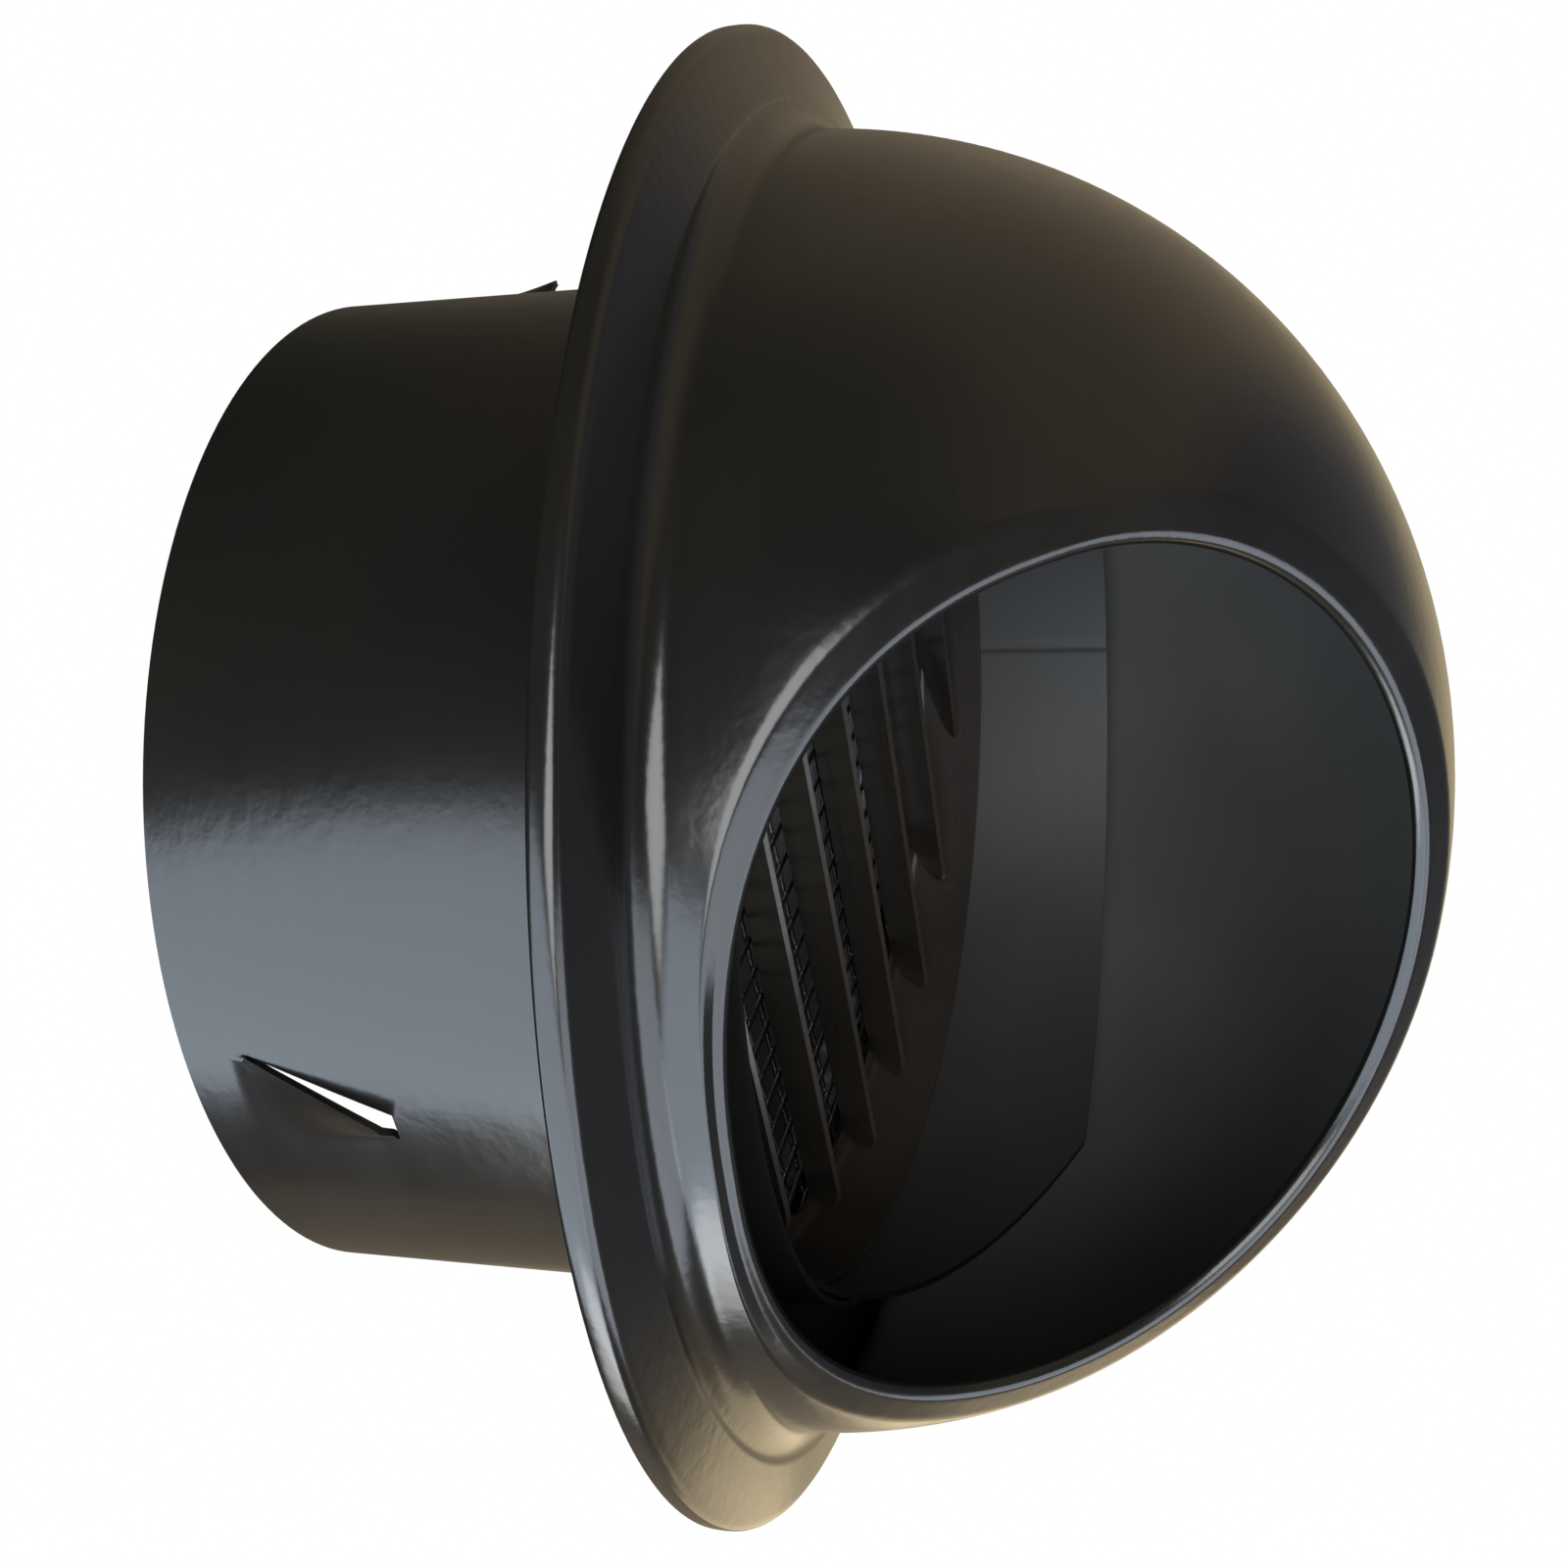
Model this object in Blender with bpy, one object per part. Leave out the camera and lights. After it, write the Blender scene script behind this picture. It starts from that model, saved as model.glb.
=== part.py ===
"""Round hooded wall or roof vent for a 100 mm duct, in pressed and painted steel.

The origin is on the vent's axis in the plane of the wall that it is fitted to. +Y points into the
wall, -Y out of it, +Z is up as fitted, and the hood's mouth faces down and forward.
"""

from math import cos, pi, radians, sin, sqrt

import bmesh
import bpy
import numpy as np
from mathutils import Matrix, Vector

MM = 0.001
SEGMENTS = 72
GAP = 0.3 * MM                  # between pieces that touch
THROUGH = 1.0 * MM              # how far a cutter goes beyond what it cuts

# Spigot tube
TUBE_RADIUS = 49.0 * MM
TUBE_WALL = 0.6 * MM
TUBE_BEHIND = 42.4 * MM         # what goes into the duct, from the wall plane
TUBE_AHEAD = 25.7 * MM          # what stands inside the hood, along the upper half
TUBE_AHEAD_LOW = 5.2 * MM       # the same at the bottom, where the end is cut away for the mouth
TUBE_TURN = 8.0                 # degrees that the tube sits turned in the hood

# Barbs lanced out of the tube
BARB_COUNT = 3
BARB_LENGTH = 12.5 * MM
BARB_WIDTH = 9.5 * MM
BARB_RISE = 2.2 * MM
BARB_FROM_END = 3.6 * MM
BARB_TURN = 6.0                 # degrees from straight down to the first barb
SLIT_WIDTH = 1.2 * MM           # of the opening that a barb leaves, at its root

# Cowl: dome, flange and hem drawn from one sheet
SHEET = 0.5 * MM
HOOD_CLEARANCE = 12.2 * MM      # between tube and dome
DOME_RADIUS = TUBE_RADIUS + HOOD_CLEARANCE
DOME_FLATNESS = 2.6 * MM        # by how much the dome is less deep than a half ball
DOME_DEPTH = DOME_RADIUS - DOME_FLATNESS
DOME_SQUARENESS = 2.04
FLANGE_WIDTH = 8.8 * MM
FLANGE_RADIUS = DOME_RADIUS + FLANGE_WIDTH
RIM_BEND = 1.0 * MM
HEM_WIDTH = 3.4 * MM
FLANGE_DISH = 1.8 * MM          # how far the flange rises towards the dome
FILLET = 3.0 * MM               # between flange and dome

# Mouth of the hood
MOUTH_TILT = 40.2               # degrees forward of straight down
MOUTH_LENGTH = 66.9 * MM
MOUTH_WIDTH = 75.4 * MM
MOUTH_SQUARENESS = 2.2          # of the half towards the wall
LIP_WIDTH = 3.7 * MM
LIP_NARROW = 1.4 * MM           # its width where the mouth runs close to the flange
LIP_SLOPE = 1.4 * MM            # how deep the lip's face goes, from the dome's skin
LIP_HEM = 2.4 * MM              # how far the sheet is folded back under the face

# Base plate, held in the hem and welded to the tube
PLATE_SHEET = 0.6 * MM
RIM_DEPTH = 2 * SHEET + PLATE_SHEET + 2 * GAP      # hem, plate and flange, one on another
RECESS = RIM_DEPTH              # room for the gasket
RECESS_STEP = 1.6 * MM
COLLAR = 5.5 * MM

# Louvre insert, pressed into the tube
INSERT_TURN = 10.0              # degrees about the tube's axis
INSERT_LEAN = 4.0               # degrees forward at the top, so that rain runs back out
INSERT_FIT = 0.65 * MM          # room round it, for the lean
LOUVRE_SHEET = 0.5 * MM
LOUVRE_FACE = 0.1 * MM          # ahead of the wall plane
LOUVRE_SKIRT = 7.7 * MM
LOUVRE_COUNT = 7
LOUVRE_RISE = 5.7 * MM
LOUVRE_REACH = 4.8 * MM         # along the plate, from bend to free edge
LOUVRE_EDGE = 1.8 * MM          # left between the flaps and the skirt
LOUVRE_TOP = 0.8 * MM           # left above the top bend
LOUVRE_BOTTOM = 11.0 * MM       # left below the lowest free edge

# Insect screen and the ring that holds it
SCREEN_THICKNESS = 1.1 * MM     # two wires
RING_SHEET = 0.6 * MM
RING_LEDGE = 3.6 * MM
RING_BAND = 5.0 * MM

TUBE_BORE = TUBE_RADIUS - TUBE_WALL
INSERT_RADIUS = TUBE_BORE - INSERT_FIT


def clear_scene():
    for thing in list(bpy.data.objects):
        bpy.data.objects.remove(thing, do_unlink=True)


def paint(name, colour, roughness, metallic):
    material = bpy.data.materials.new(name)
    material.use_nodes = True
    shader = material.node_tree.nodes["Principled BSDF"]
    shader.inputs["Base Color"].default_value = (*colour, 1.0)
    shader.inputs["Roughness"].default_value = roughness
    shader.inputs["Metallic"].default_value = metallic
    return material


def finish(name, bm, material, sharp=35.0):
    """Turn a bmesh into an object, with its faces outward and its round faces smooth."""
    bmesh.ops.recalc_face_normals(bm, faces=bm.faces)
    if bm.calc_volume(signed=True) < 0:
        bmesh.ops.reverse_faces(bm, faces=bm.faces)
    mesh = bpy.data.meshes.new(name)
    bm.to_mesh(mesh)
    bm.free()
    mesh.shade_smooth()
    mesh.set_sharp_from_angle(angle=radians(sharp))
    mesh.materials.append(material)
    thing = bpy.data.objects.new(name, mesh)
    bpy.context.collection.objects.link(thing)
    return thing


def turned(profile):
    """Spin an outline of (radius, y) points about the Y axis; one that ends on it stays open."""
    bm = bmesh.new()
    verts = [bm.verts.new((r, y, 0.0)) for r, y in profile]
    edges = [bm.edges.new((a, b)) for a, b in zip(verts, verts[1:])]
    if profile[0][0] > 0:
        edges.append(bm.edges.new((verts[-1], verts[0])))
    bmesh.ops.spin(bm, geom=verts + edges, cent=(0, 0, 0), axis=(0, 1, 0), angle=2 * pi,
                   steps=SEGMENTS, use_merge=True, use_duplicate=False)
    bmesh.ops.remove_doubles(bm, verts=bm.verts, dist=1e-6)
    poles = [v for v in bm.verts if sqrt(v.co.x ** 2 + v.co.z ** 2) < 1e-6]
    bmesh.ops.dissolve_verts(bm, verts=poles)
    return bm


def prism(outline, half_width):
    """A bar with the given (y, z) outline, along X."""
    bm = bmesh.new()
    face = bm.faces.new([bm.verts.new((-half_width, y, z)) for y, z in outline])
    swept = bmesh.ops.extrude_face_region(bm, geom=[face])["geom"]
    moved = [v for v in swept if isinstance(v, bmesh.types.BMVert)]
    bmesh.ops.translate(bm, verts=moved, vec=(2 * half_width, 0, 0))
    return bm


def boolean(thing, operation, other):
    """Join or cut one object with another, and hide the other."""
    modifier = thing.modifiers.new(other.name, "BOOLEAN")
    modifier.operation = operation
    modifier.solver = "EXACT"
    modifier.object = other
    other.hide_render = True
    other.display_type = "WIRE"


# Cowl ------------------------------------------------------------------------------------------

EDGE_TRIES = 40                 # steps of the search for the mouth's edge
DOME_STEPS = 8                  # rows of faces from the fillet to the lip
CROWN = np.array([0.0, -RIM_DEPTH, 0.0])
ACROSS = np.array([1.0, 0.0, 0.0])
PUNCH = np.array([0.0, -sin(radians(MOUTH_TILT)), -cos(radians(MOUTH_TILT))])
ALONG = np.array([0.0, -cos(radians(MOUTH_TILT)), sin(radians(MOUTH_TILT))])


def dome_reach(way):
    """Distance from the dome's centre to its surface along a unit direction."""
    n = DOME_SQUARENESS
    forward = abs(way[1]) / DOME_DEPTH
    outward = sqrt(way[0] ** 2 + way[2] ** 2) / DOME_RADIUS
    return (forward ** n + outward ** n) ** (-1 / n)


def mouth_edge(turn, margin):
    """Point of the dome above the mouth's oval, widened by a margin, at an angle round it."""
    m = MOUTH_SQUARENESS if sin(turn) < 0 else 2.0
    c, s = cos(turn), sin(turn)
    p = (MOUTH_WIDTH / 2 + margin) * np.sign(c) * abs(c) ** (2 / m)
    q = (MOUTH_LENGTH / 2 + margin) * np.sign(s) * abs(s) ** (2 / m)
    height = sqrt(DOME_RADIUS ** 2 - p ** 2 - q ** 2)
    for _ in range(EDGE_TRIES):
        way = p * ACROSS + q * ALONG + height * PUNCH
        reach = dome_reach(way / np.linalg.norm(way))
        height = sqrt(reach ** 2 - p ** 2 - q ** 2)
    return p * ACROSS + q * ALONG + height * PUNCH


def dome_normal(point):
    """Outward unit normal of the dome at a point measured from its centre."""
    n = DOME_SQUARENESS
    radius = max(sqrt(point[0] ** 2 + point[2] ** 2), 1e-9)
    outward = (radius / DOME_RADIUS) ** (n - 1) / DOME_RADIUS
    forward = np.sign(point[1]) * (abs(point[1]) / DOME_DEPTH) ** (n - 1) / DOME_DEPTH
    normal = np.array([outward * point[0] / radius, forward, outward * point[2] / radius])
    return normal / np.linalg.norm(normal)


FILLET_TOP = FLANGE_DISH + FILLET          # depth where the fillet meets the dome
FILLET_END = DOME_RADIUS * (1 - (FILLET_TOP / DOME_DEPTH) ** DOME_SQUARENESS) ** (
    1 / DOME_SQUARENESS)                   # radius there


def flange_profile():
    """(radius, depth ahead of the flange's edge) of the outer face, from hem to fillet."""
    points = [(FLANGE_RADIUS - HEM_WIDTH, -RIM_DEPTH), (FLANGE_RADIUS, -RIM_DEPTH)]
    for angle in np.radians((0, 30, 60, 90)):
        points.append((FLANGE_RADIUS - RIM_BEND * (1 - cos(angle)),
                       -RIM_BEND * (1 - sin(angle))))
    for angle in np.radians((0, 30, 60)):
        points.append((FILLET_END + FILLET * (1 - sin(angle)),
                       FILLET_TOP - FILLET * cos(angle)))
    return points


def lip_profile(width):
    """(inward, depth) of the lip's outer face from the dome's skin, round its fold and under."""
    radius = SHEET + GAP / 2
    points = []
    for angle in np.radians((-90, -45, 0, 45, 90)):
        points.append((width - radius * (1 - cos(angle)), LIP_SLOPE + radius * (1 + sin(angle))))
    points.append((width - LIP_HEM, LIP_SLOPE + 2 * radius))
    return points


def cowl_column(azimuth):
    """One line of points of the cowl's outer face, from the hem to the edge inside the lip."""
    spoke = np.array([cos(azimuth), 0.0, sin(azimuth)])
    flange = [CROWN + r * spoke - np.array([0, depth, 0]) for r, depth in flange_profile()]

    sideways = spoke - (spoke @ PUNCH) * PUNCH
    turn = np.arctan2(sideways @ ALONG, sideways @ ACROSS)
    narrowing = max(-sin(turn), 0.0) ** 4
    lip_width = LIP_WIDTH + (LIP_NARROW - LIP_WIDTH) * narrowing
    edge = mouth_edge(turn, lip_width)
    foot = FILLET_END * spoke - np.array([0, FILLET_TOP, 0])
    start, stop = Vector(foot).normalized(), Vector(edge).normalized()
    dome = []
    for share in np.linspace(0, 1, DOME_STEPS + 1):
        way = np.array(start.slerp(stop, float(share)))
        dome.append(CROWN + way * dome_reach(way))

    normal = dome_normal(edge)
    back = edge - (edge @ PUNCH) * PUNCH
    back = back - (back @ normal) * normal
    back /= np.linalg.norm(back)
    lip = [CROWN + edge - normal * depth - back * across
           for across, depth in lip_profile(lip_width)]
    return flange + dome + lip


def make_cowl(material):
    bm = bmesh.new()
    columns = [[bm.verts.new(p) for p in cowl_column(2 * pi * k / SEGMENTS)]
               for k in range(SEGMENTS)]
    for left, right in zip(columns, columns[1:] + columns[:1]):
        for i in range(len(left) - 1):
            bm.faces.new((left[i], left[i + 1], right[i + 1], right[i]))
    cowl = finish("cowl", bm, material)
    sheet = cowl.modifiers.new("sheet", "SOLIDIFY")
    sheet.thickness = SHEET
    sheet.offset = -1.0
    sheet.use_even_offset = True
    return cowl


# Tube and base plate ---------------------------------------------------------------------------

def barb_point(x, along, radius):
    """A point by its distance round the tube, its distance from the rear end and its radius."""
    angle = x / TUBE_RADIUS
    return Vector((radius * sin(angle), TUBE_BEHIND - along, -radius * cos(angle)))


def make_tube(material):
    bm = turned([(TUBE_RADIUS, TUBE_BEHIND), (TUBE_RADIUS, -TUBE_AHEAD),
                 (TUBE_BORE, -TUBE_AHEAD), (TUBE_BORE, TUBE_BEHIND)])
    tube = finish("spigot_tube", bm, material)
    low = TUBE_RADIUS - TUBE_WALL / 2
    high = TUBE_RADIUS + BARB_RISE
    near, far = BARB_FROM_END, BARB_FROM_END + BARB_LENGTH
    root = near + BARB_LENGTH / 6
    shoulder = near + BARB_LENGTH * 2 / 3
    cut, heel = -BARB_WIDTH / 2, BARB_WIDTH / 2
    for k in range(BARB_COUNT):
        turn = Matrix.Rotation(-radians(BARB_TURN + 360 * k / BARB_COUNT), 3, "Y")
        tongue = bmesh.new()
        for point in (barb_point(cut, near, low), barb_point(heel, near, low),
                      barb_point(heel, shoulder, low), barb_point(0, far, low),
                      barb_point(0, far, high), barb_point(cut / 2, shoulder, high)):
            tongue.verts.new(turn @ point)
        bmesh.ops.convex_hull(tongue, input=tongue.verts)
        boolean(tube, "UNION", finish(f"barb_{k}", tongue, material))
        slit = bmesh.new()
        for radius in (TUBE_BORE - TUBE_WALL, TUBE_RADIUS + BARB_RISE / 2):
            for x, along in ((cut, root), (-GAP, far + GAP), (SLIT_WIDTH, far + GAP),
                             (cut + SLIT_WIDTH, root)):
                slit.verts.new(turn @ barb_point(x, along, radius))
        bmesh.ops.convex_hull(slit, input=slit.verts)
        boolean(tube, "DIFFERENCE", finish(f"slit_{k}", slit, material))
    clear = TUBE_RADIUS + TUBE_WALL
    scarf = finish("scarf", prism([
        (-TUBE_AHEAD, 0.0), (-TUBE_AHEAD - TUBE_WALL, 0.0), (-TUBE_AHEAD - TUBE_WALL, -clear),
        (-TUBE_AHEAD_LOW, -clear), (-TUBE_AHEAD_LOW, -TUBE_RADIUS)], clear), material)
    scarf.rotation_euler.y = -radians(TUBE_TURN)
    boolean(tube, "DIFFERENCE", scarf)
    return tube


def make_base_plate(material):
    rear = -SHEET - GAP
    step_out = FLANGE_RADIUS - HEM_WIDTH - GAP * 2
    step_in = step_out - RECESS_STEP
    inner = TUBE_RADIUS + GAP
    edge = FLANGE_RADIUS - SHEET - GAP
    floor = -RECESS - GAP
    collar_end = floor - COLLAR
    t = PLATE_SHEET
    return finish("base_plate", turned([
        (edge, rear), (edge, rear - t), (step_out - t / 2, rear - t), (step_in - t / 2, floor - t),
        (inner + t, floor - t), (inner + t, collar_end), (inner, collar_end), (inner, floor),
        (step_in, floor), (step_out, rear)]), material)


def make_gasket(material):
    outer = FLANGE_RADIUS - HEM_WIDTH - RECESS_STEP - GAP * 4
    inner = TUBE_RADIUS + GAP * 3
    return finish("wall_gasket", turned([
        (outer, 0.0), (outer, -RECESS), (inner, -RECESS), (inner, 0.0)]), material)


# Louvre insert, screen and ring ----------------------------------------------------------------

def lean(thing):
    """Tip a piece of the insert forward at its top, then turn it in the tube."""
    thing.rotation_euler = (radians(INSERT_LEAN), -radians(INSERT_TURN), 0.0)


FLAP_RADIUS = INSERT_RADIUS - LOUVRE_SHEET - LOUVRE_EDGE
FLAP_LENGTH = sqrt(LOUVRE_RISE ** 2 + LOUVRE_REACH ** 2)
LOWEST_FLAP = LOUVRE_BOTTOM - FLAP_RADIUS
HIGHEST_FLAP = FLAP_RADIUS - LOUVRE_TOP - LOUVRE_REACH


def flap_outline(level):
    """Section of one flap, from the bend at its top to the free edge below and ahead of it."""
    slope = Vector((LOUVRE_RISE, LOUVRE_REACH)).normalized()
    face = -LOUVRE_FACE
    free = Vector((face - LOUVRE_RISE, level))
    bend = Vector((face + LOUVRE_SHEET / 2, level + LOUVRE_REACH + LOUVRE_SHEET))
    thick = Vector((slope.y, -slope.x)) * LOUVRE_SHEET
    return [free, bend, bend + thick, free + thick]


def clipped_bars(name, outlines, radius, material):
    """Bars along X, cut to length by a cylinder about the Y axis."""
    bars = bmesh.new()
    for outline in outlines:
        bar = prism(outline, INSERT_RADIUS)
        mesh = bpy.data.meshes.new("bar")
        bar.to_mesh(mesh)
        bar.free()
        bars.from_mesh(mesh)
    thing = finish(name, bars, material)
    reach = LOUVRE_SKIRT + LOUVRE_FACE
    round_cut = finish(name + "_round", turned([
        (0.0, -reach), (radius, -reach), (radius, reach), (0.0, reach)]), material)
    boolean(thing, "INTERSECT", round_cut)
    thing.hide_render = True
    thing.display_type = "WIRE"
    return thing


def make_louvres(material):
    face, back = -LOUVRE_FACE, -LOUVRE_FACE + LOUVRE_SHEET
    front = face - LOUVRE_SKIRT
    inner = INSERT_RADIUS - LOUVRE_SHEET
    plate = finish("louvre_plate", turned([
        (0.0, back), (INSERT_RADIUS, back), (INSERT_RADIUS, front), (inner, front), (inner, face),
        (0.0, face)]), material)
    levels = [float(z) for z in np.linspace(LOWEST_FLAP, HIGHEST_FLAP, LOUVRE_COUNT)]
    slots = []
    for z in levels:
        top = z + LOUVRE_REACH
        low = top - FLAP_LENGTH
        slots.append([(face - THROUGH, low), (back + THROUGH, low), (back + THROUGH, top),
                      (face - THROUGH, top)])
    boolean(plate, "DIFFERENCE", clipped_bars("slots", slots, FLAP_RADIUS, material))
    flaps = [flap_outline(z) for z in levels]
    boolean(plate, "UNION", clipped_bars("flaps", flaps, FLAP_RADIUS - GAP, material))
    for thing in bpy.data.objects:
        if thing.name.startswith(("louvre", "slots", "flaps")):
            lean(thing)
    return plate


def make_screen(material):
    front = -LOUVRE_FACE + LOUVRE_SHEET + GAP
    back = front + SCREEN_THICKNESS
    lean(finish("insect_screen", turned([
        (0.0, back), (INSERT_RADIUS, back), (INSERT_RADIUS, front), (0.0, front)]), material))


def make_ring(material):
    front = -LOUVRE_FACE + LOUVRE_SHEET + GAP + SCREEN_THICKNESS + GAP
    t = RING_SHEET
    lean(finish("screen_ring", turned([
        (INSERT_RADIUS, front), (INSERT_RADIUS - RING_LEDGE, front),
        (INSERT_RADIUS - RING_LEDGE, front + t), (INSERT_RADIUS - t, front + t),
        (INSERT_RADIUS - t, front + RING_BAND), (INSERT_RADIUS, front + RING_BAND)]), material))


clear_scene()
black = (0.018, 0.019, 0.021)
make_cowl(paint("black_enamel", black, 0.32, 0.0))
make_tube(paint("tube_enamel", black, 0.34, 0.0))
make_base_plate(paint("plate_enamel", black, 0.40, 0.0))
make_louvres(paint("louvre_enamel", (0.026, 0.023, 0.021), 0.42, 0.0))
make_screen(paint("screen_wire", (0.10, 0.10, 0.11), 0.35, 1.0))
make_ring(paint("ring_steel", (0.16, 0.16, 0.17), 0.40, 1.0))
make_gasket(paint("gasket_foam", (0.03, 0.03, 0.03), 0.90, 0.0))
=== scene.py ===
"""Round hooded duct vent in black enamelled steel, seen from below and to one side.

The origin is on the vent's axis in the plane of the wall that it is fitted to. +Y points into the
wall and +Z is up as fitted.
"""

import bmesh
import bpy
import numpy as np
from mathutils import Euler, Matrix, Vector


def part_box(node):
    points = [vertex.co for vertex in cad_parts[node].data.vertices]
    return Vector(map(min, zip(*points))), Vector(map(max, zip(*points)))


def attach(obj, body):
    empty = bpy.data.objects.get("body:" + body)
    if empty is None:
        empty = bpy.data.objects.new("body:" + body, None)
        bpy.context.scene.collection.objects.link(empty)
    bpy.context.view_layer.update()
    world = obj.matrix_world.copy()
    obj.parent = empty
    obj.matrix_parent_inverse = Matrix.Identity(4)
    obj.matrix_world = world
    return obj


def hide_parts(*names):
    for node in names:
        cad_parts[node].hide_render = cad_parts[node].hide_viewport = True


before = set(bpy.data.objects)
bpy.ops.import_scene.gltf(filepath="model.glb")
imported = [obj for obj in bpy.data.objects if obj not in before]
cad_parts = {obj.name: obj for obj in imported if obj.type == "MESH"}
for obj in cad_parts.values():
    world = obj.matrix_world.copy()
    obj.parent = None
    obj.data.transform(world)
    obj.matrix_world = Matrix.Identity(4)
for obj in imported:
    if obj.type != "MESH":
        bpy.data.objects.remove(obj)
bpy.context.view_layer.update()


# Spigot tube -----------------------------------------------------------------------------------
# Steel sheet rolled into a tube and butt-welded along one line, then painted with the rest. Its
# rear goes into the duct, where three lanced barbs grip; its front stands inside the hood, and
# the lower half of that end is cut off on a slant behind the mouth.

MM = 0.001
SEAM_MERGE = 0.0005 * MM          # points closer than this are one point where two grids meet

TUBE_RADIUS = 49.0 * MM
TUBE_WALL = 0.6 * MM
TUBE_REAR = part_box("spigot_tube")[1].y
TUBE_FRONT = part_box("spigot_tube")[0].y
SCARF_FRONT = -5.2 * MM           # where the slanting cut ends, at the bottom
SCARF_TURN = np.radians(8.0)
WELD_ANGLE = np.radians(172.0)    # from straight down, towards +X
WELD_WIDTH = 0.5 * MM
WELD_HEIGHT = 0.16 * MM
WELD_REACH = 1.6 * MM             # to each side of the weld that the finer grid goes
WELD_COLUMNS = 17
COARSE_COLUMNS = 44               # from one barb's finer grid to the next
FRONT_ROWS = 22                   # of the tube's grid, from its front end to the wall plane
MIDDLE_ROWS = 9                   # from the wall plane to the barbs' tips
REAR_ROWS = 14                    # from the barbs' heels to the tube's rear

BARB_ANGLES = np.radians([6.0, 126.0, 246.0])
BARB_REACH = 14.0 * MM            # to each side of a barb that the finer grid goes
BARB_CELL = 0.4 * MM
BARB_CUT = 0.12 * MM
BARB_TIP = 24.2 * MM              # behind the wall plane
BARB_HEEL = 36.2 * MM             # where the cut ends, towards the tube's rear
BARB_BEND = 37.8 * MM
BARB_SLANT = 5.6 * MM             # sideways, from tip to heel
BARB_TIP_WIDTH = 2.6 * MM
BARB_HEEL_WIDTH = 10.4 * MM
BARB_RISE = 2.1 * MM

# The enamel's patterns: grains to the metre, how high they stand, and how much they take from
# the gloss or add to it.
CLOUD_GRAINS = 38.0
LINE_GRAINS = 500.0
PEEL_GRAINS = 620.0
GRIT_GRAINS = 2600.0
LINE_HEIGHT = 0.06 * MM
PEEL_HEIGHT = 0.25 * MM
GRIT_HEIGHT = 0.03 * MM
GRIT_STRENGTH = 0.08
CLOUD_GLOSS = 0.03
LINE_GLOSS = (-0.01, 0.02)


def quads(rows, columns, ring=False, loop=False):
    """Corner numbers of a grid's quads, as a (rows, columns, 4) array.

    Point (i, j) has the number i * columns + j, and a quad runs from it to the next column, the
    next row and back. ring joins the last column to the first, and loop the last row to the first.
    """
    i = np.arange(rows if loop else rows - 1)[:, None]
    j = np.arange(columns if ring else columns - 1)[None, :]
    below, beside = (i + 1) % rows, (j + 1) % columns
    corners = (i * columns + j, i * columns + beside, below * columns + beside, below * columns + j)
    return np.stack(np.broadcast_arrays(*corners), axis=-1)


def made(name, grids, material, wall=0.0, side=0.0, sharp=40.0, inside=None):
    """One object from (points, faces) grids, merged where they meet.

    With a wall the grids are a sheet without thickness, and each point becomes two that are the
    wall apart along the sheet's normal: side 0 puts the sheet in the middle, -1 on the outside.
    The side away from the normal can have a finish of its own.
    """
    starts = np.cumsum([0] + [points.size // 3 for points, _ in grids])
    places = np.concatenate([points.reshape(-1, 3) for points, _ in grids])
    corners = np.concatenate([faces.reshape(-1, 4) + start
                              for (_, faces), start in zip(grids, starts)])
    mesh = bpy.data.meshes.new(name)
    mesh.from_pydata(places, [], corners.tolist())
    bm = bmesh.new()
    bm.from_mesh(mesh)
    bmesh.ops.remove_doubles(bm, verts=bm.verts, dist=SEAM_MERGE)
    bmesh.ops.recalc_face_normals(bm, faces=bm.faces)
    bm.to_mesh(mesh)
    bm.free()
    for finish in (material, inside) if inside else (material,):
        mesh.materials.append(finish)
    thing = bpy.data.objects.new(name, mesh)
    bpy.context.collection.objects.link(thing)
    if wall:
        thicken = thing.modifiers.new("sheet", "SOLIDIFY")
        thicken.thickness = wall
        thicken.offset = side
        thicken.use_even_offset = True
        thicken.material_offset = 1 if inside else 0
        thing.data = bpy.data.meshes.new_from_object(
            thing.evaluated_get(bpy.context.evaluated_depsgraph_get()))
        thing.modifiers.clear()
        bpy.data.meshes.remove(mesh)
    thing.data.name = name
    thing.data.shade_smooth()
    thing.data.set_sharp_from_angle(angle=np.radians(sharp))
    return thing


def blank_material(name):
    """A new material, its node tree and its Principled shader."""
    material = bpy.data.materials.new(name)
    material.use_nodes = True
    tree = material.node_tree
    return material, tree, tree.nodes["Principled BSDF"]


def noise(tree, where, scale, detail=2.0, stretch=(1.0, 1.0, 1.0)):
    """A noise value between 0 and 1, its grain 1 / scale metres, drawn out by the stretch."""
    mapping = tree.nodes.new("ShaderNodeMapping")
    mapping.inputs["Scale"].default_value = stretch
    texture = tree.nodes.new("ShaderNodeTexNoise")
    texture.inputs["Scale"].default_value = scale
    texture.inputs["Detail"].default_value = detail
    tree.links.new(where, mapping.inputs["Vector"])
    tree.links.new(mapping.outputs["Vector"], texture.inputs["Vector"])
    return texture.outputs["Fac"]


def ranged(tree, value, low, high, start=0.3, stop=0.7):
    """Stretch a value that runs from start to stop so that it runs from low to high."""
    node = tree.nodes.new("ShaderNodeMapRange")
    node.inputs["From Min"].default_value = start
    node.inputs["From Max"].default_value = stop
    node.inputs["To Min"].default_value = low
    node.inputs["To Max"].default_value = high
    tree.links.new(value, node.inputs["Value"])
    return node.outputs["Result"]


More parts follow.
